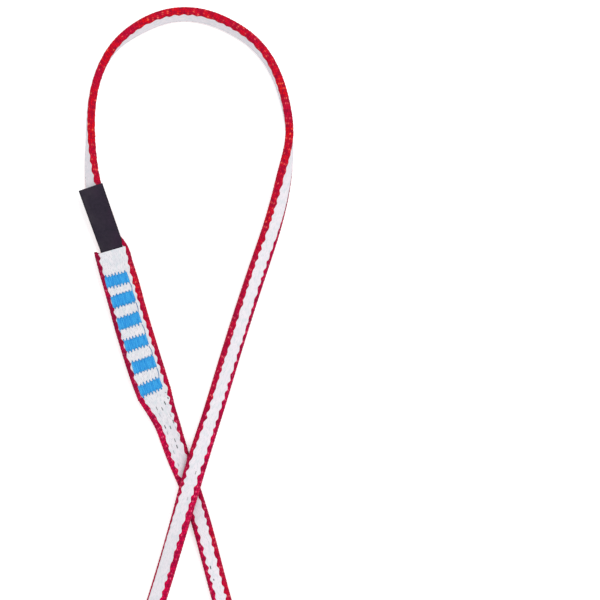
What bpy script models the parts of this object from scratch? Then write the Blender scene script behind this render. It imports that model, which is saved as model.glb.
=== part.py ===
"""Sling of narrow woven tape, sewn into a closed loop and laid in a figure of eight.

The tape starts at the cut end beside the label and runs down the sewn joint, under the
crossing, round the lower lobe on its edge, over the crossing, round the upper lobe and
back under the joint to its other cut end. +Y points up the figure of eight, +Z is up,
and the origin is on the surface below the middle of the whole sling.
"""

import math

import bmesh
import bpy
import numpy as np
from mathutils import Matrix, Vector

# Tape: a flat tube of yarn, so its section keeps its area where the joint spreads it.
STRAND_WIDTH = 0.0079
STRAND_THICKNESS = 0.0029
JOINT_WIDTH = 0.01425
INNER_BAND_WIDTH = 0.0023
OUTER_BAND_WIDTH = 0.0016
BAND_GAP = 0.0003
BAND_SECTION_SHARES = (0, 0.5, 0.85, 1)
STATION_STEP = 0.005
ROUTE_STEP = 0.0005

# Joint: two layers of tape over each other, with the label's tail between them.
OVERLAP = 0.064
STACK_GAP = 0.0002
LAYER_FALL = 0.020
FALL_START = 0.001
LOWER_RISE_BEFORE = 0.012
LOWER_RISE_AFTER = 0.006

# Crossing of the two bottom strands.
CROSSING_GAP = 0.0005
CROSSING_HOLD_SHARE = 1.7
CROSSING_FALL = 0.030

# Bar tacks: dense zigzag seams across the joint, counted from the cut end at the label.
TACK_PLACES = (0.0127, 0.0211, 0.0305, 0.0401, 0.0497, 0.0594)
TACK_SIDE_SHIFTS = (0.0008, 0.0006, 0.0007, 0.0003, -0.0002, 0.0002)
TACK_WIDTH = 0.010
TACK_LENGTH = 0.0071
TACK_TOOTH = 0.0013
TACK_TEETH = 7
NEEDLE_TACK_THICKNESS = 0.0003
BOBBIN_TACK_THICKNESS = 0.00025
JUMP_RADIUS = 0.0002
JUMP_SIDE_SHARE = 0.46
JUMP_BOW = 0.0004
JUMP_END_GAP = 0.0003

# Label: a ribbon folded in half, its two ends held under the first bar tack.
LABEL_WIDTH = 0.010
LABEL_FREE_LENGTH = 0.0268
LABEL_SIDE_SHIFT = 0.0008
LABEL_PLY = 0.00025
LABEL_FOLD_GAP = 0.0003
LABEL_HEADING = math.radians(18.5)
LABEL_SLOPE = math.radians(12.0)
LABEL_TAIL_THICKNESS = 0.0004
LABEL_TAIL_PAST_TACK = 0.0005
LABEL_RISE_FALL = 0.013
HINGE_OUTSIDE = 0.0015
HINGE_GAP = 0.00045
FOLD_STEPS = 8

# Route of the tape's middle: x, y, roll of its outer face in degrees, and how far the
# section is spread, from 0 in a strand to 1 in the joint.
ROUTE = (
    # Upper layer of the joint, then under the crossing.
    (-0.0325, 0.1194, 0, 1),
    (-0.0235, 0.0878, 0, 1),
    (-0.0143, 0.0586, 0, 0.95),
    (-0.0118, 0.0528, 2, 0.62),
    (-0.0092, 0.0470, 2, 0.40),
    (-0.0052, 0.0353, 0, 0.25),
    (0.0000, 0.0212, -4, 0.05),
    (0.0048, 0.0062, -6, 0),
    (0.0133, -0.0254, -12, 0),
    # Lower lobe, on edge, with its end turned back in between the two sides.
    (0.0261, -0.0660, -45, 0),
    (0.0378, -0.1061, -66, 0),
    (0.0475, -0.1512, -85, 0),
    (0.0503, -0.1857, -90, 0),
    (0.0454, -0.2085, -90, 0),
    (0.0316, -0.2183, -90, 0),
    (0.0155, -0.2136, -90, 0),
    (0.0086, -0.1925, -90, 0),
    (0.0177, -0.1643, -90, 0),
    (0.0171, -0.1348, -90, 0),
    (0.0000, -0.1253, -90, 0),
    (-0.0171, -0.1348, -90, 0),
    (-0.0177, -0.1643, -90, 0),
    (-0.0086, -0.1925, -90, 0),
    (-0.0155, -0.2136, -90, 0),
    (-0.0316, -0.2183, -90, 0),
    (-0.0454, -0.2085, -90, 0),
    (-0.0503, -0.1857, -90, 0),
    (-0.0475, -0.1512, -85, 0),
    (-0.0378, -0.1061, -66, 0),
    (-0.0261, -0.0660, -45, 0),
    # Over the crossing and up the right side.
    (-0.0132, -0.0254, -32, 0),
    (-0.0028, 0.0096, -24, 0),
    (0.0031, 0.0303, -4, 0.05),
    (0.0092, 0.0495, 0, 0.05),
    (0.0182, 0.0786, 8, 0),
    (0.0276, 0.1077, 14, 0),
    (0.0351, 0.1310, 26, 0),
    (0.0400, 0.1518, 54, 0),
    (0.0419, 0.1659, 87, 0),
    # Round the top, leaning outwards.
    (0.0404, 0.1784, 99, 0),
    (0.0357, 0.1931, 106, 0),
    (0.0280, 0.2044, 114, 0),
    (0.0172, 0.2121, 120, 0),
    (0.0050, 0.2166, 122, 0),
    (-0.0081, 0.2166, 122, 0),
    (-0.0201, 0.2119, 118, 0),
    (-0.0305, 0.2039, 98, 0),
    (-0.0372, 0.1926, 88, 0),
    # Down the left side, under the label and along the joint as its lower layer.
    (-0.0404, 0.1796, 82, 0),
    (-0.0409, 0.1651, 75, 0),
    (-0.0400, 0.1485, 47, 0),
    (-0.0373, 0.1360, 25, 0.08),
    (-0.0340, 0.1255, 4, 0.16),
    (-0.0316, 0.1208, 0, 0.50),
    (-0.0306, 0.1172, 0, 0.72),
    (-0.0304, 0.1137, 0, 0.92),
    (-0.0288, 0.1080, 0, 1),
    (-0.0230, 0.0878, 0, 1),
    (-0.0143, 0.0586, 0, 0.93),
)


def clear_scene():
    for thing in list(bpy.data.objects):
        bpy.data.objects.remove(thing, do_unlink=True)


def make_material(name, color, roughness):
    """A plain Principled material; color is linear red, green and blue."""
    material = bpy.data.materials.new(name)
    material.use_nodes = True
    shader = material.node_tree.nodes["Principled BSDF"]
    shader.inputs["Base Color"].default_value = (*color, 1)
    shader.inputs["Roughness"].default_value = roughness
    shader.inputs["Metallic"].default_value = 0
    return material


def smooth_route(step):
    """The route's four values every step along, on a natural cubic spline over chord length."""
    knots = np.array(ROUTE, float)
    spans = np.linalg.norm(np.diff(knots[:, :2], axis=0), axis=1)
    places = np.concatenate([[0], np.cumsum(spans)])
    count = len(knots)
    system = np.zeros((count, count))
    pull = np.zeros(knots.shape)
    system[0, 0] = system[-1, -1] = 1
    for i in range(1, count - 1):
        before, after = spans[i - 1], spans[i]
        system[i, i - 1 : i + 2] = before, 2 * (before + after), after
        pull[i] = 6 * ((knots[i + 1] - knots[i]) / after - (knots[i] - knots[i - 1]) / before)
    bend = np.linalg.solve(system, pull)
    read = np.linspace(0, places[-1], max(2, round(places[-1] / step) + 1))
    k = np.clip(np.searchsorted(places, read, side="right") - 1, 0, count - 2)
    span = spans[k][:, None]
    left = (places[k + 1] - read)[:, None]
    right = (read - places[k])[:, None]
    curved = (bend[k] * left**3 + bend[k + 1] * right**3) / (6 * span)
    straight = (knots[k] / span - bend[k] * span / 6) * left
    return curved + straight + (knots[k + 1] / span - bend[k + 1] * span / 6) * right


def layer_thickness(width):
    """Thickness of a round-edged section of the strand's area at this width."""
    corner = 1 - math.pi / 4
    area = (STRAND_WIDTH - corner * STRAND_THICKNESS) * STRAND_THICKNESS
    return (width - np.sqrt(width**2 - 4 * corner * area)) / (2 * corner)


def ease(value):
    """Smooth step from 0 to 1."""
    held = np.clip(value, 0, 1)
    return held * held * (3 - 2 * held)


class Tape:
    """The tape's middle line, section sizes and heights, read every ROUTE_STEP."""

    def __init__(self):
        rows = smooth_route(ROUTE_STEP)
        self.plan = rows[:, :2]
        self.roll = np.radians(rows[:, 2])
        self.spread = np.clip(rows[:, 3], 0, 1)
        steps = np.linalg.norm(np.diff(self.plan, axis=0), axis=1)
        self.along = np.concatenate([[0], np.cumsum(steps)])
        self.total = self.along[-1]
        travel = np.gradient(self.plan, axis=0)
        self.travel = travel / np.linalg.norm(travel, axis=1)[:, None]
        self.width = STRAND_WIDTH + (JOINT_WIDTH - STRAND_WIDTH) * self.spread
        self.thick = layer_thickness(self.width)
        tilt = np.abs(np.sin(self.roll))
        self.half_height = (self.width - self.thick) / 2 * tilt + self.thick / 2
        self.base = self.joint_heights()
        self.base = np.maximum(self.base, self.crossing_heights())
        self.middle = self.base + self.half_height

    def joint_heights(self):
        """Height of the underside in the joint: the lower layer on its tacks, the upper on it."""
        start = self.total - OVERLAP
        rise = (self.along - start + LOWER_RISE_BEFORE) / (LOWER_RISE_BEFORE + LOWER_RISE_AFTER)
        base = (BOBBIN_TACK_THICKNESS + STACK_GAP) * ease(rise)
        lower = self.along >= start
        below = (base + 2 * self.half_height)[lower]
        tail = self.along[lower] - start < self.tail_inside()
        self.tail_seat = below[tail].max() + STACK_GAP
        level = below[-1] + STACK_GAP
        raised = self.tail_seat + LABEL_TAIL_THICKNESS + STACK_GAP - level
        past_tail = (self.along - self.tail_inside()) / LABEL_RISE_FALL
        upper = level + raised * (1 - ease(past_tail))
        fall = 1 - ease((self.along - OVERLAP - FALL_START) / LAYER_FALL)
        return np.where(self.along < self.total / 2, upper * fall, base)

    def tail_inside(self):
        """How far the label's tail reaches in between the layers."""
        return TACK_PLACES[0] + TACK_LENGTH / 2 + LABEL_TAIL_PAST_TACK

    def crossing_heights(self):
        """Height of the underside where the returning strand passes over the first one."""
        free = self.along > OVERLAP + LAYER_FALL
        first = np.flatnonzero(free & (self.along < self.total / 4))
        second = np.flatnonzero((self.along > self.total / 2) & (self.along < self.total * 3 / 4))
        apart = np.linalg.norm(self.plan[first][:, None] - self.plan[second][None], axis=2)
        under, over = np.unravel_index(apart.argmin(), apart.shape)
        hold = STRAND_WIDTH * CROSSING_HOLD_SHARE
        near = first[np.abs(self.along[first] - self.along[first[under]]) < hold]
        lift = (2 * self.half_height[near]).max() + CROSSING_GAP
        away = np.abs(self.along - self.along[second[over]]) - hold
        return lift * (1 - ease(away / CROSSING_FALL))

    def at(self, values, distance):
        """One of the tape's rows read at a distance along it."""
        if values.ndim == 1:
            return float(np.interp(distance, self.along, values))
        return np.array([np.interp(distance, self.along, column) for column in values.T])

    def frame(self, distance):
        """Middle point, across, outward and along vectors of the section at a distance."""
        x, y = self.at(self.plan, distance)
        ahead = Vector((*self.at(self.travel, distance), 0)).normalized()
        left = Vector((-ahead.y, ahead.x, 0))
        up = Vector((0, 0, 1))
        roll = self.at(self.roll, distance)
        across = math.cos(roll) * left + math.sin(roll) * up
        outward = math.cos(roll) * up - math.sin(roll) * left
        return Vector((x, y, self.at(self.middle, distance))), across, outward, ahead

    def surface_pose(self, distance, lift, shift):
        """Matrix on the layer's face at a distance: X across, Y along, Z out of the face."""
        middle, across, outward, ahead = self.frame(distance)
        reach = TACK_LENGTH / 2
        rise = self.at(self.base, distance + reach) - self.at(self.base, distance - reach)
        ahead = (ahead + outward * rise / (2 * reach)).normalized()
        outward = across.cross(ahead) * -1
        side = across * -1
        place = middle + outward * lift + side * shift
        return Matrix.Translation(place) @ Matrix((side, ahead, outward)).transposed().to_4x4()


def half_thickness(across, width, thick):
    """Half the section's thickness at a distance from its middle line."""
    into_edge = max(0, abs(across) - (width - thick) / 2)
    return math.sqrt(max(0, (thick / 2) ** 2 - into_edge**2))


def body_section(width, thick):
    """The white core band: a flat bar between the two coloured bands."""
    inner = width / 2 - INNER_BAND_WIDTH - BAND_GAP
    outer = width / 2 - OUTER_BAND_WIDTH - BAND_GAP
    half = thick / 2
    return [(inner, half), (-outer, half), (-outer, -half), (inner, -half)]


def band_section(width, thick, band, side):
    """A coloured band: flat where it meets the core, round at the tape's edge."""
    tops = []
    for share in BAND_SECTION_SHARES:
        across = width / 2 - band * (1 - share)
        tops.append((side * across, half_thickness(across, width, thick)))
    return tops + [(across, -high) for across, high in tops[-2::-1]]


def sewn_stations(tape):
    count = round(tape.total / STATION_STEP)
    return [tape.total * i / count for i in range(count + 1)]


def add_loft(collection, name, rings, material):
    """A closed solid through rings with equal numbers of points."""
    build = bmesh.new()
    loops = [[build.verts.new(point) for point in ring] for ring in rings]
    for near, far in zip(loops, loops[1:]):
        for k, corner in enumerate(near):
            after = (k + 1) % len(near)
            build.faces.new((corner, near[after], far[after], far[k]))
    build.faces.new(loops[0])
    build.faces.new(loops[-1])
    bmesh.ops.recalc_face_normals(build, faces=build.faces)
    mesh = bpy.data.meshes.new(name)
    build.to_mesh(mesh)
    build.free()
    mesh.shade_smooth()
    mesh.set_sharp_from_angle(angle=math.radians(50))
    mesh.materials.append(material)
    thing = bpy.data.objects.new(name, mesh)
    collection.objects.link(thing)
    return thing


def add_band(collection, name, tape, section, material):
    """One of the tape's bands, lofted along the whole route."""
    rings = []
    for distance in sewn_stations(tape):
        middle, across, outward, _ = tape.frame(distance)
        width, thick = tape.at(tape.width, distance), tape.at(tape.thick, distance)
        rings.append([middle + across * a + outward * out for a, out in section(width, thick)])
    return add_loft(collection, name, rings, material)


def add_plate(collection, name, outline, thick, material):
    """A flat outline in X and Y, of this thickness about its own plane."""
    curve = bpy.data.curves.new(name, "CURVE")
    curve.dimensions = "2D"
    curve.fill_mode = "BOTH"
    curve.extrude = thick / 2
    spline = curve.splines.new("POLY")
    spline.points.add(len(outline) - 1)
    for point, (x, y) in zip(spline.points, outline):
        point.co = (x, y, 0, 1)
    spline.use_cyclic_u = True
    curve.materials.append(material)
    thing = bpy.data.objects.new(name, curve)
    collection.objects.link(thing)
    return thing


def tack_outline():
    """A zigzag seam seen from its face, with its teeth half a pitch apart on the two sides."""
    pitch = TACK_WIDTH / TACK_TEETH
    tip = TACK_LENGTH / 2
    root = tip - TACK_TOOTH
    outline = [(-TACK_WIDTH / 2, -root)]
    for k in range(TACK_TEETH):
        left = -TACK_WIDTH / 2 + pitch * k
        outline += [(left + pitch / 4, -tip), (left + pitch, -root)]
    outline.append((TACK_WIDTH / 2, root))
    for k in range(TACK_TEETH):
        right = TACK_WIDTH / 2 - pitch * k
        outline += [(right - pitch / 4, tip), (right - pitch, root)]
    return outline


def add_tacks(collection, tape, material):
    """Six bar tacks, each with its upper thread on the joint and its lower one beneath."""
    for number, (place, shift) in enumerate(zip(TACK_PLACES, TACK_SIDE_SHIFTS), 1):
        top = add_plate(
            collection, f"needle_tack_{number}", tack_outline(), NEEDLE_TACK_THICKNESS, material
        )
        lift = tape.at(tape.thick, place) / 2 + STACK_GAP + NEEDLE_TACK_THICKNESS / 2
        top.matrix_world = tape.surface_pose(place, lift, shift)
        under = add_plate(
            collection, f"bobbin_tack_{number}", tack_outline(), BOBBIN_TACK_THICKNESS, material
        )
        flat = tape.surface_pose(place, 0, shift)
        under.location = flat.translation
        under.location.z = BOBBIN_TACK_THICKNESS / 2
        under.rotation_euler.z = flat.to_euler().z


def add_jumps(collection, tape, material):
    """The upper thread's short runs from one bar tack to the next."""
    side = TACK_WIDTH * JUMP_SIDE_SHARE
    tacks = list(zip(TACK_PLACES, TACK_SIDE_SHIFTS))
    for number, (one, two) in enumerate(zip(tacks, tacks[1:]), 1):
        start = one[0] + TACK_LENGTH / 2 + JUMP_END_GAP
        end = two[0] - TACK_LENGTH / 2 - JUMP_END_GAP
        curve = bpy.data.curves.new(f"needle_jump_{number}", "CURVE")
        curve.dimensions = "3D"
        curve.bevel_depth = JUMP_RADIUS
        curve.bevel_resolution = 2
        curve.use_fill_caps = True
        spline = curve.splines.new("POLY")
        stations = np.linspace(0, 1, 5)
        spline.points.add(len(stations) - 1)
        for point, share in zip(spline.points, stations):
            distance = start + (end - start) * share
            lift = tape.at(tape.thick, distance) / 2 + STACK_GAP + JUMP_RADIUS
            bow = JUMP_BOW * math.sin(math.pi * share)
            shift = one[1] + (two[1] - one[1]) * share
            pose = tape.surface_pose(distance, lift, shift - side - bow)
            point.co = (*pose.translation, 1)
        curve.materials.append(material)
        collection.objects.link(bpy.data.objects.new(f"needle_jump_{number}", curve))


def fold_outline():
    """Side view of the free ribbon, level with the tail below: two plies and their fold."""
    outer = LABEL_PLY + LABEL_FOLD_GAP / 2
    inner = LABEL_FOLD_GAP / 2
    root = HINGE_GAP
    fold = LABEL_FREE_LENGTH - outer
    rise = outer - LABEL_TAIL_THICKNESS / 2
    turns = [math.pi * (0.5 - k / FOLD_STEPS) for k in range(FOLD_STEPS + 1)]
    outline = [(root, outer)]
    outline += [(fold + outer * math.cos(turn), outer * math.sin(turn)) for turn in turns]
    outline += [(root, -outer), (root, -inner)]
    outline += [(fold + inner * math.cos(turn), inner * math.sin(turn)) for turn in turns[::-1]]
    outline.append((root, inner))
    return [(along, out + rise) for along, out in outline]


def add_label(collection, tape, material):
    """The folded ribbon: a tail held between the layers and a free flap hinged at its root."""
    heading = Vector((-math.sin(LABEL_HEADING), math.cos(LABEL_HEADING), 0))
    sideways = Vector((heading.y, -heading.x, 0))
    cut_end = Vector((*tape.at(tape.plan, 0), 0))
    height = Vector((0, 0, tape.tail_seat + LABEL_TAIL_THICKNESS / 2))
    hinge = cut_end + heading * HINGE_OUTSIDE + sideways * LABEL_SIDE_SHIFT + height

    near, far = 0, -HINGE_OUTSIDE - tape.tail_inside()
    half = LABEL_WIDTH / 2
    corners = [(-half, far), (half, far), (half, near), (-half, near)]
    tail = add_plate(collection, "label_tail", corners, LABEL_TAIL_THICKNESS, material)
    tail.location = hinge
    tail.rotation_euler.z = LABEL_HEADING

    axis = bpy.data.objects.new("label_hinge", None)
    axis.location = hinge
    collection.objects.link(axis)
    flap = add_plate(collection, "label_flap", fold_outline(), LABEL_WIDTH, material)
    along = heading * math.cos(LABEL_SLOPE) + Vector((0, 0, math.sin(LABEL_SLOPE)))
    out = sideways.cross(along)
    flap.parent = axis
    flap.matrix_local = Matrix((along, out, along.cross(out))).transposed().to_4x4()


def main():
    clear_scene()
    collection = bpy.data.collections.new("sling")
    bpy.context.scene.collection.children.link(collection)
    white = make_material("white_yarn", (0.80, 0.82, 0.87), 0.6)
    red = make_material("red_yarn", (0.51, 0.005, 0.017), 0.6)
    blue = make_material("blue_thread", (0.02, 0.31, 0.80), 0.5)
    black = make_material("black_ribbon", (0.030, 0.025, 0.040), 0.7)

    tape = Tape()
    print(f"tape length {tape.total * 1000:.1f} mm, loop {(tape.total - OVERLAP) * 1000:.1f} mm")
    add_band(collection, "tape_body", tape, body_section, white)
    add_band(
        collection,
        "tape_edge_inner",
        tape,
        lambda width, thick: band_section(width, thick, INNER_BAND_WIDTH, 1),
        red,
    )
    add_band(
        collection,
        "tape_edge_outer",
        tape,
        lambda width, thick: band_section(width, thick, OUTER_BAND_WIDTH, -1),
        red,
    )
    add_tacks(collection, tape, blue)
    add_jumps(collection, tape, blue)
    add_label(collection, tape, black)


main()
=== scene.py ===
"""Looks of a sling of narrow woven tape, sewn into a loop and laid in a figure of eight."""

import math

import bpy
import numpy as np
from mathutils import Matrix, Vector


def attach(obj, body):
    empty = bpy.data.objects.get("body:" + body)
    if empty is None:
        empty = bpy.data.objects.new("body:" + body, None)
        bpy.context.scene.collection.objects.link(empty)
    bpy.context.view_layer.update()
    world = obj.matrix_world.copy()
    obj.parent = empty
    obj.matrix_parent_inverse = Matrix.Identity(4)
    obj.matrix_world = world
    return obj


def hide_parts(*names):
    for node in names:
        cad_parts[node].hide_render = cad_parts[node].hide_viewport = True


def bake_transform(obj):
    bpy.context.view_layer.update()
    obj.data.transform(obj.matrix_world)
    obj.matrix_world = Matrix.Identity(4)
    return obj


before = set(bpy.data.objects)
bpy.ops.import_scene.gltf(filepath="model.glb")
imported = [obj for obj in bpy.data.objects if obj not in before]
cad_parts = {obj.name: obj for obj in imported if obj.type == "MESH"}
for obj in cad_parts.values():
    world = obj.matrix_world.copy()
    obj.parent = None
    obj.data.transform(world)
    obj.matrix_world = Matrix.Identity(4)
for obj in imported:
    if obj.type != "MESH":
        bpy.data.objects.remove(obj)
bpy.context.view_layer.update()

# Picture: the camera looks straight down at a square of the surface.
PICTURE_SIDE = 0.250
PICTURE_CENTRE = (0.04625, 0.09859)
CAMERA_HEIGHT = 1.5
SENSOR_WIDTH = 36
WORLD_LIGHT = 0.74
LAMP_AIM = (0, 0, 0)
LAMPS = (
    # Name, place, size and power.
    ("key", (0.55, 0.45, 1.1), 0.7, 6),
    ("fill", (-0.7, -0.3, 1.0), 0.9, 2),
)
FLOOR_REACH = 3.0
FLOOR_DROP = 0.0002
FLOOR_TONE = 0.90
FLOOR_ROUGHNESS = 0.9
FLOOR_GLOW = 0.42

# Tape and joint, as the frame's solids have them.
STRAND_WIDTH = 0.0079
STRAND_THICKNESS = 0.0029
JOINT_WIDTH = 0.01425
OVERLAP = 0.064
STACK_GAP = 0.0002
LAYER_FALL = 0.020
FALL_START = 0.001
LOWER_RISE_BEFORE = 0.012
LOWER_RISE_AFTER = 0.006
CROSSING_GAP = 0.0005
CROSSING_HOLD_SHARE = 1.7
CROSSING_FALL = 0.030
ROUTE_STEP = 0.0005

# Bar tacks and label, as the frame's solids have them.
TACK_PLACES = (0.0127, 0.0211, 0.0305, 0.0401, 0.0497, 0.0594)
TACK_SIDE_SHIFTS = (0.0008, 0.0006, 0.0007, 0.0003, -0.0002, 0.0002)
TACK_WIDTH = 0.010
TACK_LENGTH = 0.0071
TACK_TEETH = 7
BOBBIN_TACK_THICKNESS = 0.00025
JUMP_SIDE_SHARE = 0.46
JUMP_BOW = 0.0004
LABEL_WIDTH = 0.010
LABEL_FREE_LENGTH = 0.0268
LABEL_SIDE_SHIFT = 0.0008
LABEL_HEADING = math.radians(18.5)
LABEL_SLOPE = math.radians(12.0)
LABEL_TAIL_THICKNESS = 0.0004
LABEL_TAIL_PAST_TACK = 0.0005
LABEL_RISE_FALL = 0.013
HINGE_OUTSIDE = 0.0015

# Surface of the tape.
BODY_SINK = 0.00012
FACE_POINTS = 13
RIM_POINTS = 6
WEAVE_RELIEF = 0.00003
WEAVE_PITCH = 0.0029
CHEVRON_LEAN = 1.1
HOLE_ROW_PITCH = 0.0020
HOLE_PITCH = 0.0028
SKIN_POINTS = 18
SKIN_PROUD = 0.00030
RIM_PROUD = 0.00006
JOINT_PROUD = 0.00022
BODY_REACH = 0.00700
SKIN_DIVE = 0.00008
SKIN_DEPTH = 0.00030
BEAD_LENGTH = 0.00105
BEAD_WIDTH = 0.00070
BEAD_LEAN = 0.55
RIB_PITCH = 0.00145
RIB_RELIEF = 0.00011
RIB_LEAN = 0.75
FINE_PITCH = 0.0009
FINE_RELIEF = 0.00002
FINE_LEAN = 0.35
SKIN_FADE_POWER = 6
SCALLOP_PITCH = 0.0041
SCALLOP_DEPTH = 0.00066
SCALLOP_DEPTH_JITTER = 0.45
RAGGED_DEPTH = 0.00009
RAGGED_PITCH = 0.0007
SCALLOP_RISE = 0.6
SCALLOP_JITTER = 0.28
LOBE_LEAN = 1.3
SCALLOP_SEED = 21
SCALLOP_DEPTH_SEED = 31
RAGGED_SEED = 41
RAISED_COVER = 0.0003
ROLL_FOR_MORE_COVER = 0.3
LOW_EDGE_START = 0.2
LOW_EDGE_SPAN = 0.4
LOW_EDGE_LOSS = 0.62
CUT_END_LOSS = 0.0006
CUT_END_REACH = 0.013
CUT_CORNER_RISE = 0.0009
CUT_CORNER_SIDE = 0.0052
CUT_CORNER_SPAN = 0.0007
CUT_LINE_DROP = 0.0002
CUT_SHAPE_REACH = 0.005
CUT_SEAR = 0.0009
CUT_CLOSING = 0.05
SHARP_ANGLE = math.radians(60)

# Share of the weave's places that are open holes: past the joint, then near the crossing.
HOLES_AT_JOINT_SHARE = 0.66
HOLES_LEAD = 0.0005
HOLES_RISE = 0.003
HOLES_LOSS_SHARE = 0.55
HOLES_LOSS_START = 0.012
HOLES_LOSS_SPAN = 0.012
HOLES_END_LEAD = 0.004
HOLES_END_SPAN = 0.012
HOLES_OVER_SHARE = 0.09
HOLES_OVER_REACH = 0.02
HOLES_UNDER_SHARE = 0.06
HOLES_UNDER_REACH = 0.03
HOLES_FADE = 0.02
HOLES_SIDE_SHARE = 0.30
HOLES_SIDE_SPAN_SHARE = 0.12

# Where the white yarn takes the free strand's lighter tone, with a painted pink reflection of the red
# edges.
STRAND_TONE_RISE = 0.030
STRAND_TONE_LOSS_SHARE = 0.5
STRAND_TONE_LOSS_SPAN = 0.010

# How far the red edges reach over the tape's face: distance, first edge, second edge.
COVERS = (
    (0.000, 0.0016, 0.0016),
    (0.030, 0.0017, 0.0018),
    (0.045, 0.0013, 0.0018),
    (0.060, 0.0015, 0.0020),
    (0.078, 0.0018, 0.0029),
    (0.090, 0.0014, 0.0024),
    (0.110, 0.0019, 0.0019),
    (0.150, 0.0024, 0.0015),
    (0.240, 0.0020, 0.0019),
    (0.780, 0.0023, 0.0016),
    (0.815, 0.0028, 0.0015),
    (0.860, 0.0017, 0.0019),
    (0.885, 0.0022, 0.0017),
    (0.920, 0.0023, 0.0014),
    (0.950, 0.0017, 0.0019),
    (0.980, 0.0019, 0.0019),
    (1.000, 0.0022, 0.0008),
    (1.130, 0.0021, 0.0006),
    (1.165, 0.0010, 0.0006),
    (1.200, 0.0018, 0.0018),
)

# How far each red edge stands out of the even width: distance, first edge, second edge.
EDGE_SHIFTS = (
    (0.000, 0.0000, -0.0004),
    (0.007, 0.0000, 0.0000),
    (0.028, 0.0000, 0.0002),
    (0.040, 0.0001, -0.0001),
    (0.068, 0.0004, -0.0005),
    (0.082, 0.0000, 0.0000),
    (0.116, 0.0003, -0.0002),
    (0.150, 0.0002, -0.0002),
    (0.220, 0.0000, 0.0000),
    (0.780, 0.0002, 0.0003),
    (0.850, 0.0002, 0.0005),
    (0.884, -0.0002, 0.0001),
    (0.910, 0.0001, 0.0001),
    (0.955, 0.0001, 0.0000),
    (0.982, -0.0003, 0.0001),
    (1.000, 0.0000, 0.0000),
    (1.180, 0.0000, 0.0000),
    (1.194, -0.0006, 0.0000),
    (1.205, 0.0001, 0.0000),
    (1.225, -0.0004, 0.0000),
    (1.240, 0.0000, 0.0000),
    (1.255, 0.0003, 0.0000),
)

# Share of the edge yarns' second colour: distance, first edge, second edge.
TONES = (
    (0.000, 0.3, 0.1),
    (0.012, 0.5, 0.0),
    (0.034, 0.5, 0.0),
    (0.042, 0.2, 0.1),
    (0.062, 0.2, 0.3),
    (0.070, 0.0, 0.9),
    (0.110, 0.0, 0.9),
    (0.128, 0.3, 0.6),
    (0.150, 0.3, 0.6),
    (0.780, 0.0, 1.0),
    (0.860, 0.0, 0.9),
    (0.890, 0.2, 0.6),
    (0.950, 0.3, 0.5),
    (0.980, 0.7, 0.5),
    (1.160, 0.8, 0.5),
    (1.190, 0.1, 0.0),
    (1.200, 0.1, 0.0),
    (1.215, 0.5, 0.0),
    (1.235, 0.5, 0.0),
    (1.245, 0.2, 0.0),
)

# Threads of the bar tacks, and of the runs between them.
THREAD_RADIUS = 0.00020
THREAD_SIDES = 7
LEG_POINTS = 9
CORE_LEGS = 44
CORE_REACHES = (0.00232, 0.00270, 0.00265, 0.00250, 0.00270, 0.00242)
TACK_TILTS = (-0.03, 0.03, 0.06, 0.04, 0.03, 0.06)
CORE_LIFT = 0.00012
CORE_WANDER = 0.00030
UNDER_LIFT = 0.00024
TOOTH_WANDER = 0.00034
TACK_DIVE = 0.00045
JUMP_THREAD_RADIUS = 0.00016
JUMP_LIFT = 0.00001
JUMP_UNDER = 0.0012
JUMP_POINTS = 17
LEG_ARCH_POWER = 4
LEG_DIVE_POWER = 10
THREAD_MAP_START = 0.1
THREAD_MAP_SPAN = 0.8
THREAD_MAP_MIDDLE = 0.5

# The label's corner that the tape's edge bites into, its wider left side and its shorter tip.
LABEL_BITE = 0.0007
LABEL_BITE_REACH = 0.0032
LABEL_LEFT_EXTRA = 0.0004
LABEL_TIP_INSET = 0.0005

# The label's ribbon: its two plies, the gap between them, its fold, its relief and its arch.
RIBBON_PLY = 0.00024
RIBBON_TAIL_GAP = 0.00016
RIBBON_FREE_GAP = 0.00042
RIBBON_GAP_REACH = 0.006
RIBBON_FOLD_SWELL = 0.0001
RIBBON_FOLD_REACH = 0.004
RIBBON_RUN_POINTS = 110
RIBBON_FOLD_POINTS = 11
RIBBON_ACROSS_POINTS = 29
RIBBON_ROUNDING_POWER = 16
RIBBON_EDGE_SHARE = 0.35
RIBBON_RELIEF = 0.000012
RIBBON_RELIEF_PITCH = 0.0006
RIBBON_RELIEF_RIBS = 14
LABEL_ARCH = 0.0006
LABEL_ARCH_START = 0.003
LABEL_RIPPLE = 0.00015
LABEL_RIPPLE_TURN = 900

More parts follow.
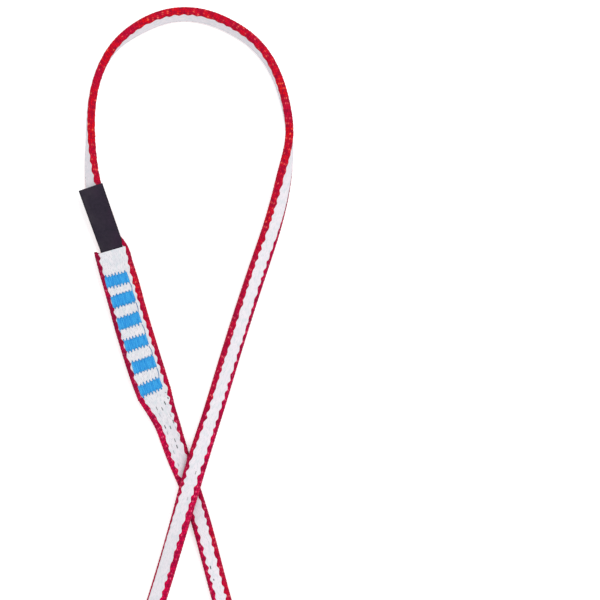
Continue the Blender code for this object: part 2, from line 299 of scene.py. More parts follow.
# Route of the tape's middle: x, y, roll of its outer face in degrees, and how far the
# section is spread, from 0 in a strand to 1 in the joint.
ROUTE = (
    # Upper layer of the joint, then under the crossing.
    (-0.0325, 0.1194, 0, 1),
    (-0.0235, 0.0878, 0, 1),
    (-0.0143, 0.0586, 0, 0.95),
    (-0.0118, 0.0528, 2, 0.62),
    (-0.0092, 0.0470, 2, 0.40),
    (-0.0052, 0.0353, 0, 0.25),
    (0.0000, 0.0212, -4, 0.05),
    (0.0048, 0.0062, -6, 0),
    (0.0133, -0.0254, -12, 0),
    # Lower lobe, on edge, with its end turned back in between the two sides.
    (0.0261, -0.0660, -45, 0),
    (0.0378, -0.1061, -66, 0),
    (0.0475, -0.1512, -85, 0),
    (0.0503, -0.1857, -90, 0),
    (0.0454, -0.2085, -90, 0),
    (0.0316, -0.2183, -90, 0),
    (0.0155, -0.2136, -90, 0),
    (0.0086, -0.1925, -90, 0),
    (0.0177, -0.1643, -90, 0),
    (0.0171, -0.1348, -90, 0),
    (0.0000, -0.1253, -90, 0),
    (-0.0171, -0.1348, -90, 0),
    (-0.0177, -0.1643, -90, 0),
    (-0.0086, -0.1925, -90, 0),
    (-0.0155, -0.2136, -90, 0),
    (-0.0316, -0.2183, -90, 0),
    (-0.0454, -0.2085, -90, 0),
    (-0.0503, -0.1857, -90, 0),
    (-0.0475, -0.1512, -85, 0),
    (-0.0378, -0.1061, -66, 0),
    (-0.0261, -0.0660, -45, 0),
    # Over the crossing and up the right side.
    (-0.0132, -0.0254, -32, 0),
    (-0.0028, 0.0096, -24, 0),
    (0.0031, 0.0303, -4, 0.05),
    (0.0092, 0.0495, 0, 0.05),
    (0.0182, 0.0786, 8, 0),
    (0.0276, 0.1077, 14, 0),
    (0.0351, 0.1310, 26, 0),
    (0.0400, 0.1518, 54, 0),
    (0.0419, 0.1659, 87, 0),
    # Round the top, leaning outwards.
    (0.0404, 0.1784, 99, 0),
    (0.0357, 0.1931, 106, 0),
    (0.0280, 0.2044, 114, 0),
    (0.0172, 0.2121, 120, 0),
    (0.0050, 0.2166, 122, 0),
    (-0.0081, 0.2166, 122, 0),
    (-0.0201, 0.2119, 118, 0),
    (-0.0305, 0.2039, 98, 0),
    (-0.0372, 0.1926, 88, 0),
    # Down the left side, under the label and along the joint as its lower layer.
    (-0.0404, 0.1796, 82, 0),
    (-0.0409, 0.1651, 75, 0),
    (-0.0400, 0.1485, 47, 0),
    (-0.0373, 0.1360, 25, 0.08),
    (-0.0340, 0.1255, 4, 0.16),
    (-0.0316, 0.1208, 0, 0.50),
    (-0.0306, 0.1172, 0, 0.72),
    (-0.0304, 0.1137, 0, 0.92),
    (-0.0288, 0.1080, 0, 1),
    (-0.0230, 0.0878, 0, 1),
    (-0.0143, 0.0586, 0, 0.93),
)


def smooth_route(step):
    """The route's four values every step along, on a natural cubic spline over chord length."""
    knots = np.array(ROUTE, float)
    spans = np.linalg.norm(np.diff(knots[:, :2], axis=0), axis=1)
    places = np.concatenate([[0], np.cumsum(spans)])
    count = len(knots)
    system = np.zeros((count, count))
    pull = np.zeros(knots.shape)
    system[0, 0] = system[-1, -1] = 1
    for i in range(1, count - 1):
        before, after = spans[i - 1], spans[i]
        system[i, i - 1 : i + 2] = before, 2 * (before + after), after
        pull[i] = 6 * ((knots[i + 1] - knots[i]) / after - (knots[i] - knots[i - 1]) / before)
    bend = np.linalg.solve(system, pull)
    read = np.linspace(0, places[-1], max(2, round(places[-1] / step) + 1))
    k = np.clip(np.searchsorted(places, read, side="right") - 1, 0, count - 2)
    span = spans[k][:, None]
    left = (places[k + 1] - read)[:, None]
    right = (read - places[k])[:, None]
    curved = (bend[k] * left**3 + bend[k + 1] * right**3) / (6 * span)
    straight = (knots[k] / span - bend[k] * span / 6) * left
    return curved + straight + (knots[k + 1] / span - bend[k + 1] * span / 6) * right


def layer_thickness(width):
    """Thickness of a round-edged section of the strand's area at this width."""
    corner = 1 - math.pi / 4
    area = (STRAND_WIDTH - corner * STRAND_THICKNESS) * STRAND_THICKNESS
    return (width - np.sqrt(width**2 - 4 * corner * area)) / (2 * corner)


def ease(value):
    """Smooth step from 0 to 1."""
    held = np.clip(value, 0, 1)
    return held * held * (3 - 2 * held)


class Tape:
    """The tape's middle line, section sizes and heights, read every ROUTE_STEP."""

    def __init__(self):
        rows = smooth_route(ROUTE_STEP)
        self.plan = rows[:, :2]
        self.roll = np.radians(rows[:, 2])
        self.spread = np.clip(rows[:, 3], 0, 1)
        steps = np.linalg.norm(np.diff(self.plan, axis=0), axis=1)
        self.along = np.concatenate([[0], np.cumsum(steps)])
        self.total = self.along[-1]
        travel = np.gradient(self.plan, axis=0)
        self.travel = travel / np.linalg.norm(travel, axis=1)[:, None]
        self.width = STRAND_WIDTH + (JOINT_WIDTH - STRAND_WIDTH) * self.spread
        self.thick = layer_thickness(self.width)
        tilt = np.abs(np.sin(self.roll))
        self.half_height = (self.width - self.thick) / 2 * tilt + self.thick / 2
        self.base = self.joint_heights()
        self.base = np.maximum(self.base, self.crossing_heights())
        self.middle = self.base + self.half_height
        flat = np.zeros(len(self.along))
        left = np.stack([-self.travel[:, 1], self.travel[:, 0], flat], 1)
        up = np.array([0.0, 0.0, 1.0])
        cosine, sine = np.cos(self.roll)[:, None], np.sin(self.roll)[:, None]
        self.across = cosine * left + sine * up
        self.outward = cosine * up - sine * left
        self.centres = np.concatenate([self.plan, self.middle[:, None]], 1)

    def joint_heights(self):
        """Height of the underside in the joint: the lower layer on its tacks, the upper on it."""
        start = self.total - OVERLAP
        rise = (self.along - start + LOWER_RISE_BEFORE) / (LOWER_RISE_BEFORE + LOWER_RISE_AFTER)
        base = (BOBBIN_TACK_THICKNESS + STACK_GAP) * ease(rise)
        lower = self.along >= start
        below = (base + 2 * self.half_height)[lower]
        tail = self.along[lower] - start < self.tail_inside()
        self.tail_seat = below[tail].max() + STACK_GAP
        level = below[-1] + STACK_GAP
        raised = self.tail_seat + LABEL_TAIL_THICKNESS + STACK_GAP - level
        past_tail = (self.along - self.tail_inside()) / LABEL_RISE_FALL
        upper = level + raised * (1 - ease(past_tail))
        fall = 1 - ease((self.along - OVERLAP - FALL_START) / LAYER_FALL)
        return np.where(self.along < self.total / 2, upper * fall, base)

    def tail_inside(self):
        """How far the label's tail reaches in between the layers."""
        return TACK_PLACES[0] + TACK_LENGTH / 2 + LABEL_TAIL_PAST_TACK

    def crossing_heights(self):
        """Height of the underside where the returning strand passes over the first one."""
        free = self.along > OVERLAP + LAYER_FALL
        first = np.flatnonzero(free & (self.along < self.total / 4))
        second = np.flatnonzero((self.along > self.total / 2) & (self.along < self.total * 3 / 4))
        apart = np.linalg.norm(self.plan[first][:, None] - self.plan[second][None], axis=2)
        under, over = np.unravel_index(apart.argmin(), apart.shape)
        self.cross_under = self.along[first[under]]
        self.cross_over = self.along[second[over]]
        hold = STRAND_WIDTH * CROSSING_HOLD_SHARE
        near = first[np.abs(self.along[first] - self.cross_under) < hold]
        lift = (2 * self.half_height[near]).max() + CROSSING_GAP
        away = np.abs(self.along - self.cross_over) - hold
        return lift * (1 - ease(away / CROSSING_FALL))

    def at(self, values, distance):
        """One of the tape's rows read at distances along it."""
        if values.ndim == 1:
            return np.interp(distance, self.along, values)
        return np.stack([np.interp(distance, self.along, column) for column in values.T], -1)

    def rings(self, distance, across, outward):
        """Points of the rings at these distances, from how far they lie across and out of the middle."""
        middle = self.at(self.centres, distance)[:, None]
        beside = self.at(self.across, distance)[:, None] * across[..., None]
        return middle + beside + self.at(self.outward, distance)[:, None] * outward[..., None]

    def surface(self, distance, side, lift):
        """Points above the tape's outer face; side is measured across it, from its middle."""
        middle = self.at(self.centres, distance)
        across, outward = self.at(self.across, distance), self.at(self.outward, distance)
        half = self.at(self.thick, distance) / 2
        return middle + across * side[..., None] + outward * (half + lift)[..., None]


TAPE = Tape()


def ripple(distance, seed, pitch):
    """Slow random wander between -1 and 1, the same each run."""
    rng = np.random.default_rng(seed)
    knots = rng.uniform(-1, 1, int(TAPE.total / pitch) + 3)
    place = distance / pitch
    low = np.clip(place.astype(int), 0, len(knots) - 2)
    part = place - low
    blend = part * part * (3 - 2 * part)
    return knots[low] * (1 - blend) + knots[low + 1] * blend


def put(name, data):
    """A new object in the scene."""
    thing = bpy.data.objects.new(name, data)
    bpy.context.scene.collection.objects.link(thing)
    return thing


def grid_piece(name, points, u, v, material):
    """A closed tube from rings of points, capped at both ends, with u and v in metres as its UV map."""
    rings, around = points.shape[:2]
    index = np.arange(rings * around).reshape(rings, around)
    after = np.roll(index, -1, axis=1)
    quads = np.stack([index[:-1], after[:-1], after[1:], index[1:]], -1).reshape(-1, 4)
    faces = quads.tolist() + [index[0, ::-1].tolist(), index[-1].tolist()]
    mesh = bpy.data.meshes.new(name)
    mesh.from_pydata(points.reshape(-1, 3).tolist(), [], faces)
    closed_v = np.concatenate([v, 2 * v[:, -1:] - v[:, -2:-1]], 1)
    corner_u = np.stack([u[:-1], u[:-1], u[1:], u[1:]], -1)
    corner_u = np.repeat(corner_u[:, None], around, axis=1)
    corner_v = np.stack([closed_v[:-1, :-1], closed_v[:-1, 1:], closed_v[1:, 1:], closed_v[1:, :-1]], -1)
    pairs = np.stack([corner_u, corner_v], -1).reshape(-1, 2)
    ends = [(u[0], value) for value in v[0, ::-1]] + [(u[-1], value) for value in v[-1]]
    layer = mesh.uv_layers.new(name="metres")
    layer.data.foreach_set("uv", np.concatenate([pairs, np.array(ends)]).ravel())
    mesh.validate()
    mesh.shade_smooth()
    mesh.set_sharp_from_angle(angle=SHARP_ANGLE)
    mesh.materials.append(material)
    return put(name, mesh)


def paint(piece, name, values):
    """A value for each of a piece's points, for its material."""
    attribute = piece.data.attributes.new(name, "FLOAT", "POINT")
    attribute.data.foreach_set("value", values.astype(np.float32))


class Nodes:
    """Short names for the nodes of one material."""

    def __init__(self, name):
        self.material = bpy.data.materials.new(name)
        self.material.use_nodes = True
        self.tree = self.material.node_tree
        self.shader = self.tree.nodes["Principled BSDF"]

    def add(self, kind, **inputs):
        node = self.tree.nodes.new(kind)
        for key, value in inputs.items():
            self.feed(node.inputs[key.replace("_", " ")], value)
        return node

    def feed(self, socket, value):
        if isinstance(value, bpy.types.NodeSocket):
            self.tree.links.new(value, socket)
        else:
            socket.default_value = value

    def math(self, operation, one, two=0.0, clamp=False):
        node = self.tree.nodes.new("ShaderNodeMath")
        node.operation = operation
        node.use_clamp = clamp
        self.feed(node.inputs[0], one)
        self.feed(node.inputs[1], two)
        return node.outputs[0]

    def mix(self, share, one, two):
        node = self.tree.nodes.new("ShaderNodeMix")
        node.data_type = "RGBA"
        self.feed(node.inputs[0], share)
        self.feed(node.inputs[6], one)
        self.feed(node.inputs[7], two)
        return node.outputs[2]

    def ramp(self, value, low, high):
        """0 below low, 1 above high."""
        node = self.tree.nodes.new("ShaderNodeMapRange")
        node.interpolation_type = "SMOOTHSTEP"
        self.feed(node.inputs["Value"], value)
        node.inputs["From Min"].default_value = low
        node.inputs["From Max"].default_value = high
        return node.outputs[0]

    def uv(self):
        node = self.tree.nodes.new("ShaderNodeUVMap")
        node.uv_map = "metres"
        split = self.add("ShaderNodeSeparateXYZ", Vector=node.outputs[0])
        return split.outputs[0], split.outputs[1]

    def combine(self, x, y, z=0.0):
        return self.add("ShaderNodeCombineXYZ", X=x, Y=y, Z=z).outputs[0]

    def noise(self, vector, scale, detail=2.0):
        node = self.add("ShaderNodeTexNoise", Vector=vector, Scale=scale, Detail=detail)
        return node.outputs[0]

    def attribute(self, name):
        """A value painted on the piece's points."""
        node = self.add("ShaderNodeAttribute")
        node.attribute_name = name
        return node.outputs["Fac"]

    def chance(self, x, y, z=0.0):
        """A random value from 0 to 1 for each cell."""
        return self.add("ShaderNodeTexWhiteNoise", Vector=self.combine(x, y, z)).outputs[0]

    def times(self, one, two):
        return self.math("MULTIPLY", one, two)

    def rest(self, value):
        """What a share leaves of 1."""
        return self.math("SUBTRACT", 1.0, value)

    def from_middle(self, place, cell):
        """A place within its cell, from -0.5 to 0.5."""
        return self.math("SUBTRACT", self.math("SUBTRACT", place, cell), 0.5)

    def cosine(self, value, pitch):
        """A cosine of a length, from 0 to 1."""
        turn = self.math("MULTIPLY", value, 2 * math.pi / pitch)
        swing = self.math("MULTIPLY", self.math("COSINE", turn), 0.5)
        return self.math("ADD", swing, 0.5)

    def bump(self, height, depth):
        node = self.tree.nodes.new("ShaderNodeBump")
        node.inputs["Strength"].default_value = 1
        node.inputs["Distance"].default_value = depth
        self.feed(node.inputs["Height"], height)
        self.tree.links.new(node.outputs[0], self.shader.inputs["Normal"])

    def finish(self, color, roughness, specular):
        self.shader.inputs["Specular IOR Level"].default_value = specular
        self.feed(self.shader.inputs["Base Color"], color)
        self.feed(self.shader.inputs["Roughness"], roughness)
        return self.material


def linear(red, green, blue):
    """A colour given as 0 to 255 values, for a shader."""

    def one(value):
        share = value / 255
        return share / 12.92 if share <= 0.04045 else ((share + 0.055) / 1.055) ** 2.4

    return (one(red), one(green), one(blue), 1)


# White yarn: its weave, its tones, its painted shade in the twill valleys and open holes, its strand tone
# with a painted pink reflection, and its finish.
TWILL_PITCH = 0.00062
TWILL_LEAN = 0.42
PICK_PITCH = 0.00048
STREAK_STRETCH = 0.22
STREAK_SCALE = 2600.0
STREAK_RAMP = (0.42, 0.68)
FINE_DETAIL = 3.0
PATCH_SCALE = 260.0
PATCH_RAMP = (0.4, 0.75)
PATCH_SHARE = 0.55
STRAND_AND_REFLECTION_SHARE = 0.42
LOZENGE_STRETCH = 0.45
LOZENGE_SCALE = 900.0
LOZENGE_RAMP = (0.47, 0.66)
LOZENGE_SHARE = 0.36
HOLE_ROW_SHIFT = 0.37
HOLE_WIDTH_RAMP = (0.05, 0.14)
HOLE_LENGTH_RAMP = (0.20, 0.33)
HOLE_DEPTH_RAMP = (-0.2, 0.9)
HOLE_DEPTH_CELL = 5.0
WHITE_BUMP = 0.00005
TWILL_BUMP_SHARE = 0.6
PICK_BUMP_SHARE = 0.25
HOLE_BUMP_SHARE = 1.5
WHITE_SPECULAR = 0.2
WHITE_ROUGHNESS = 0.52
WHITE_ROUGHNESS_SPAN = 0.2
CREST_WHITE = linear(229, 226, 230)
# Grey of the painted shade in the twill's valleys.
VALLEY_SHADE_WHITE = linear(178, 181, 191)
PATCH_WHITE = linear(206, 209, 217)
# Lighter strand white, tinted pink as a painted reflection of the red edges.
STRAND_WHITE_AND_RED_REFLECTION = linear(240, 231, 239)
LOZENGE_WHITE = linear(194, 212, 216)
# Grey of the painted shade inside the open weave holes.
HOLE_SHADE_GREY = linear(46, 56, 56)


def white_yarn():
    """White tubular weave: fine steep twill lines, painted grey shade in their valleys, and open weave
    holes darkened with painted shade.
    """
    n = Nodes("white_yarn")
    u, v = n.uv()
    side = n.math("ABSOLUTE", v)
    twill = n.cosine(n.math("ADD", side, n.times(u, TWILL_LEAN)), TWILL_PITCH)
    picks = n.cosine(u, PICK_PITCH)
    streak = n.noise(n.combine(n.times(u, STREAK_STRETCH), v), STREAK_SCALE, FINE_DETAIL)
    patch = n.noise(n.combine(u, v), PATCH_SCALE)
    lozenge = n.noise(n.combine(n.times(u, LOZENGE_STRETCH), v), LOZENGE_SCALE)
    # Painted shade: the twill's valleys are greyed where the streak noise lets them.
    valley_shade = n.times(n.rest(twill), n.ramp(streak, *STREAK_RAMP))
    shade = n.mix(valley_shade, CREST_WHITE, VALLEY_SHADE_WHITE)
    shade = n.mix(n.times(n.ramp(patch, *PATCH_RAMP), PATCH_SHARE), shade, PATCH_WHITE)
    # The free strands take a lighter white, tinted pink as a painted reflection of the red edges.
    shade = n.mix(n.times(n.attribute("strand"), STRAND_AND_REFLECTION_SHARE), shade, STRAND_WHITE_AND_RED_REFLECTION)
    shade = n.mix(n.times(n.ramp(lozenge, *LOZENGE_RAMP), LOZENGE_SHARE), shade, LOZENGE_WHITE)

    row = n.math("DIVIDE", v, HOLE_ROW_PITCH)
    number = n.math("FLOOR", row)
    across = n.math("ABSOLUTE", n.from_middle(row, number))
    column = n.math("ADD", n.math("DIVIDE", u, HOLE_PITCH), n.times(number, HOLE_ROW_SHIFT))
    cell = n.math("FLOOR", column)
    ahead = n.math("ABSOLUTE", n.from_middle(column, cell))
    slot = n.times(n.rest(n.ramp(across, *HOLE_WIDTH_RAMP)), n.rest(n.ramp(ahead, *HOLE_LENGTH_RAMP)))
    picked = n.math("LESS_THAN", n.chance(cell, number), n.attribute("opened"))
    depth = n.chance(cell, number, HOLE_DEPTH_CELL)
    hole = n.times(n.times(slot, picked), n.ramp(depth, *HOLE_DEPTH_RAMP))
    # Painted shade: the open weave holes are darkened towards grey.
    shade = n.mix(hole, shade, HOLE_SHADE_GREY)

    height = n.math("ADD", n.times(twill, TWILL_BUMP_SHARE), n.times(picks, PICK_BUMP_SHARE))
    height = n.math("SUBTRACT", height, n.times(hole, HOLE_BUMP_SHARE))
    n.bump(height, WHITE_BUMP)
    roughness = n.math("ADD", WHITE_ROUGHNESS, n.times(streak, WHITE_ROUGHNESS_SPAN))
    return n.finish(shade, roughness, WHITE_SPECULAR)


# Red yarn: its floats, the drift of its colour, its darker floats, its floats with a painted highlight, its
# painted shade between the floats, where the yarns dip and on the lowered edge, and its finish.
BEAD_RAMP = (0.03, 0.30)
GLINT_CELL = 3.0
DRIFT_SCALE = 90.0
DRIFT_DETAIL = 1.0
DRIFT_SPAN = 2.2
RED_PATCH_SCALE = 420.0
RED_PATCH_RAMP = (0.48, 0.66)
RED_PATCH_SHARE = 0.25
# Share of painted shade between the floats.
SUNK_SHADE_SHARE = 0.62
DARK_STAGGER = 0.3
DARK_LIMIT = 0.36
DARK_SHARE = 0.55
# Painted highlights on some of the floats.
BRIGHT_STAGGER = 0.4
BRIGHT_LIMIT = 1.02
GLINT_FLOOR = 0.05
# Painted shade where the red yarns dip and on the edge the roll turns down, and the seared cut end's own
# darkening.
HOLLOW_SHADE_RAMP = (0.0, 0.55)
HOLLOW_SHADE_SHARE = 0.45
RED_BUMP = 0.00010
RED_PATCH_BUMP_SHARE = 0.3
RED_SPECULAR = 0.06
RED_ROUGHNESS = 0.5
RED_ROUGHNESS_SPAN = 0.2


def red_yarn(name, base, second, deep_and_shade, highlight_spark, second_highlight_spark):
    """Coarse red weave: floats laid like bricks with painted shade between them, some of every other one
    given a painted highlight, and some of the rest darker.
    """
    n = Nodes(name)
    u, v = n.uv()
    row = n.math("DIVIDE", v, BEAD_WIDTH)
    number = n.math("FLOOR", row)
    column = n.math("DIVIDE", n.math("ADD", u, n.times(v, BEAD_LEAN)), BEAD_LENGTH)
    column = n.math("ADD", column, n.times(number, 0.5))
    cell = n.math("FLOOR", column)
    p = n.from_middle(column, cell)
    q = n.from_middle(row, number)
    bead = n.rest(n.ramp(n.math("ADD", n.times(p, p), n.times(q, q)), *BEAD_RAMP))
    chance = n.chance(cell, number)
    glint = n.chance(cell, number, GLINT_CELL)
    halves = n.math("FRACT", n.times(n.math("ADD", cell, number), 0.5))
    other = n.math("GREATER_THAN", halves, 0.25)
    slow = n.noise(n.combine(u, 0.0), DRIFT_SCALE, DRIFT_DETAIL)
    patch = n.noise(n.combine(u, v), RED_PATCH_SCALE)
    drift = n.times(n.math("SUBTRACT", slow, 0.5), DRIFT_SPAN)
    turned = n.math("ADD", n.attribute("tone"), drift, clamp=True)
    color = n.mix(turned, base, second)
    # Painted shade: the sunk places between the floats are darkened towards the deep red.
    sunk_shade = n.times(n.rest(bead), SUNK_SHADE_SHARE)
    blotch = n.times(n.ramp(patch, *RED_PATCH_RAMP), RED_PATCH_SHARE)
    color = n.mix(n.math("ADD", sunk_shade, blotch, clamp=True), color, deep_and_shade)
    dark = n.math("LESS_THAN", n.math("ADD", chance, n.times(other, DARK_STAGGER)), DARK_LIMIT)
    color = n.mix(n.times(dark, DARK_SHARE), color, deep_and_shade)
    # Painted highlight: a bright pink or orange glint on some floats.
    painted_glint = n.math("GREATER_THAN", n.math("ADD", chance, n.times(other, BRIGHT_STAGGER)), BRIGHT_LIMIT)
    painted_glint = n.times(painted_glint, n.times(bead, n.math("ADD", glint, GLINT_FLOOR, clamp=True)))
    color = n.mix(painted_glint, color, n.mix(turned, highlight_spark, second_highlight_spark))
    # Painted shade where the red yarns dip under the white and on the lowered edge; near the first cut end
    # the darkening is its seared rim.
    hollow_shade_and_sear = n.rest(n.ramp(n.attribute("lobe"), *HOLLOW_SHADE_RAMP))
    color = n.mix(n.times(hollow_shade_and_sear, HOLLOW_SHADE_SHARE), color, deep_and_shade)
    n.bump(n.math("ADD", bead, n.times(patch, RED_PATCH_BUMP_SHARE)), RED_BUMP)
    roughness = n.math("ADD", RED_ROUGHNESS, n.times(patch, RED_ROUGHNESS_SPAN))
    return n.finish(color, roughness, RED_SPECULAR)


# Sewing thread: its twist, its lit places, its painted shade at the needle holes and in the twist, and its
# finish.
TWIST_TURNS = 9.0
TWIST_BUMP = 0.00006
TWIST_SHARE = 0.5
THREAD_CELL = 3.0
THREAD_END_RAMP = (0.07, 0.24)
TOOTH_MARGIN = 0.01
BUNDLE_STRETCH = 1.6
BUNDLE_ACROSS = 0.35
BUNDLE_SCALE = 1.3
BUNDLE_RAMP = (0.35, 0.65)
BUNDLE_SHARE = 0.4
THREAD_LIT_SHARE = 0.7
# Shares of painted shade at the needle holes, more at the teeth.
TOOTH_SHADE_SHARE = 0.55
END_SHADE_SHARE = 0.20
THREAD_SPECULAR = 0.2
THREAD_ROUGHNESS = 0.35
THREAD_ROUGHNESS_SPAN = 0.12
JUMP_ROUGHNESS = 0.5
THREAD_BLUE = linear(4, 128, 212)
LIT_BLUE = linear(84, 200, 250)
# Painted shade in the twist's grooves.
TWIST_SHADE_BLUE = linear(8, 124, 204)
# Painted shade where the thread goes into its needle holes.
END_SHADE_BLUE = linear(30, 104, 158)
# Painted shade in the run's twist grooves.
JUMP_TWIST_SHADE = linear(66, 104, 152)
JUMP_CREST = linear(116, 152, 190)


def thread_twist(n, u, v):
    """The thread's twist, from 0 to 1, also as its bump."""
    twist = n.cosine(n.math("ADD", n.times(u, TWIST_TURNS), v), 1.0)
    n.bump(twist, TWIST_BUMP)
    return twist


def blue_thread():
    """Twisted sewing thread, with painted shade where it goes into the tape and in its twist."""
    n = Nodes("blue_thread")
    u, v = n.uv()
    strand = n.chance(n.math("FLOOR", v), THREAD_CELL)
    ends = n.rest(n.ramp(n.math("MINIMUM", u, n.rest(u)), *THREAD_END_RAMP))
    tooth = n.math("GREATER_THAN", v, CORE_LEGS + TOOTH_MARGIN)
    twist = thread_twist(n, u, v)
    bundle = n.noise(n.combine(n.times(u, BUNDLE_STRETCH), n.times(v, BUNDLE_ACROSS)), BUNDLE_SCALE)
    patch = n.times(n.ramp(bundle, *BUNDLE_RAMP), BUNDLE_SHARE)
    lit = n.math("ADD", n.times(strand, THREAD_LIT_SHARE), patch, clamp=True)
    color = n.mix(lit, THREAD_BLUE, LIT_BLUE)
    # Painted shade in the twist's grooves.
    color = n.mix(n.times(n.rest(twist), TWIST_SHARE), color, TWIST_SHADE_BLUE)
    # Painted shade: the ends darken where the thread goes into its needle holes, the teeth more.
    end_shade = n.math("ADD", n.times(tooth, TOOTH_SHADE_SHARE), END_SHADE_SHARE)
    color = n.mix(n.times(ends, end_shade), color, END_SHADE_BLUE)
    roughness = n.math("ADD", THREAD_ROUGHNESS, n.times(strand, THREAD_ROUGHNESS_SPAN))
    return n.finish(color, roughness, THREAD_SPECULAR)


def jump_thread():
    """The same thread where it runs low between two bar tacks, seen grey through the fibres."""
    n = Nodes("jump_thread")
    u, v = n.uv()
    twist = thread_twist(n, u, v)
    # Painted shade in the twist's grooves, between the grey crests.
    return n.finish(n.mix(twist, JUMP_TWIST_SHADE, JUMP_CREST), JUMP_ROUGHNESS, THREAD_SPECULAR)


# Label ribbon: its weave with painted shade in its valleys, its tones, its selvedges and its finish.
LABEL_PICK_PITCH = 0.00030
LABEL_END_PITCH = 0.00036
LABEL_GRAIN_SCALE = 900.0
LABEL_PATCH_SCALE = 120.0
LABEL_TONE_RAMP = (0.4, 0.7)
LABEL_TONE_SHARE = 0.5
SELVEDGE_START = 0.0006
SELVEDGE_END = 0.0003
LABEL_BUMP = 0.00005
LABEL_GRAIN_BUMP_SHARE = 0.5
LABEL_SPECULAR = 0.12
LABEL_ROUGHNESS = 0.55
LABEL_ROUGHNESS_SPAN = 0.15
# Painted shade in the ribbon's weave valleys.
RIBBON_VALLEY_SHADE = linear(36, 30, 43)
RIBBON_CREST = linear(60, 51, 66)
RIBBON_GRAIN = linear(30, 28, 39)
RIBBON_LEFT_CAST = linear(64, 60, 66)
RIBBON_RIGHT_CAST = linear(54, 33, 56)
RIBBON_SELVEDGE = linear(34, 31, 40)


def label_ribbon():
    """Near-black woven ribbon: fine picks across it with painted shade between them, and tighter selvedges.
    """
    n = Nodes("label_ribbon")
    u, v = n.uv()
    weave = n.times(n.cosine(u, LABEL_PICK_PITCH), n.cosine(v, LABEL_END_PITCH))
    grain = n.noise(n.combine(u, v), LABEL_GRAIN_SCALE, FINE_DETAIL)
    patch = n.noise(n.combine(u, v), LABEL_PATCH_SCALE)
    sides = n.ramp(v, -LABEL_WIDTH / 2, LABEL_WIDTH / 2)
    # Painted shade: the weave's valleys darker than its crests.
    color = n.mix(weave, RIBBON_VALLEY_SHADE, RIBBON_CREST)
    color = n.mix(n.times(n.ramp(grain, *LABEL_TONE_RAMP), LABEL_TONE_SHARE), color, RIBBON_GRAIN)
    cast = n.mix(sides, RIBBON_LEFT_CAST, RIBBON_RIGHT_CAST)
    color = n.mix(n.times(n.ramp(patch, *LABEL_TONE_RAMP), LABEL_TONE_SHARE), color, cast)
    half = LABEL_WIDTH / 2
    selvedge = n.ramp(n.math("ABSOLUTE", v), half - SELVEDGE_START, half - SELVEDGE_END)
    color = n.mix(n.times(selvedge, LABEL_TONE_SHARE), color, RIBBON_SELVEDGE)
    n.bump(n.math("ADD", weave, n.times(grain, LABEL_GRAIN_BUMP_SHARE)), LABEL_BUMP)
    roughness = n.math("ADD", LABEL_ROUGHNESS, n.times(grain, LABEL_ROUGHNESS_SPAN))
    return n.finish(color, roughness, LABEL_SPECULAR)


def body_stations():
    """The distances along the tape at which its rings of points stand."""
    count = round(TAPE.total / ROUTE_STEP)
    return np.linspace(0, TAPE.total, count + 1)


def read_table(table, distance, inner):
    """A table's column for the first or the second edge, read at distances along the tape."""
    places, first, second = np.array(table).T
    return np.interp(distance, places, first if inner else second)


def shape_cut_end(points, distance, across):
    """Points near the tape's first cut end moved along it: its line back, its second edge's corner out."""
    corner = ease((-across - CUT_CORNER_SIDE) / CUT_CORNER_SPAN)
    shift = CUT_LINE_DROP * (1 - corner) - CUT_CORNER_RISE * corner
    near = 1 - ease(distance / CUT_SHAPE_REACH)
    ahead = np.array([*TAPE.travel[0], 0])
    return points + (shift * near[:, None])[..., None] * ahead


def hole_share(distance):
    """Share of the weave's places that are open holes, read at distances along the tape."""
    share = HOLES_AT_JOINT_SHARE * ease((distance - OVERLAP + HOLES_LEAD) / HOLES_RISE)
    share = share * (1 - HOLES_LOSS_SHARE * ease((distance - OVERLAP - HOLES_LOSS_START) / HOLES_LOSS_SPAN))
    share = share * (1 - ease((distance - TAPE.cross_under + HOLES_END_LEAD) / HOLES_END_SPAN))
    from_over = np.abs(distance - TAPE.cross_over)
    share = np.maximum(share, HOLES_OVER_SHARE * (1 - ease((from_over - HOLES_OVER_REACH) / HOLES_FADE)))
    from_under = np.abs(distance - TAPE.cross_under)
    return np.maximum(share, HOLES_UNDER_SHARE * (1 - ease((from_under - HOLES_UNDER_REACH) / HOLES_FADE)))


def strand_tone_and_reflection(distance):
    """How far the white yarn takes the strand's lighter tone and its painted pink reflection of the red
    edges, past the joint and under it, from 0 to 1.
    """
    lower = ease((distance - TAPE.total + OVERLAP) / STRAND_TONE_LOSS_SPAN)
    return ease((distance - OVERLAP) / STRAND_TONE_RISE) * (1 - STRAND_TONE_LOSS_SHARE * lower)


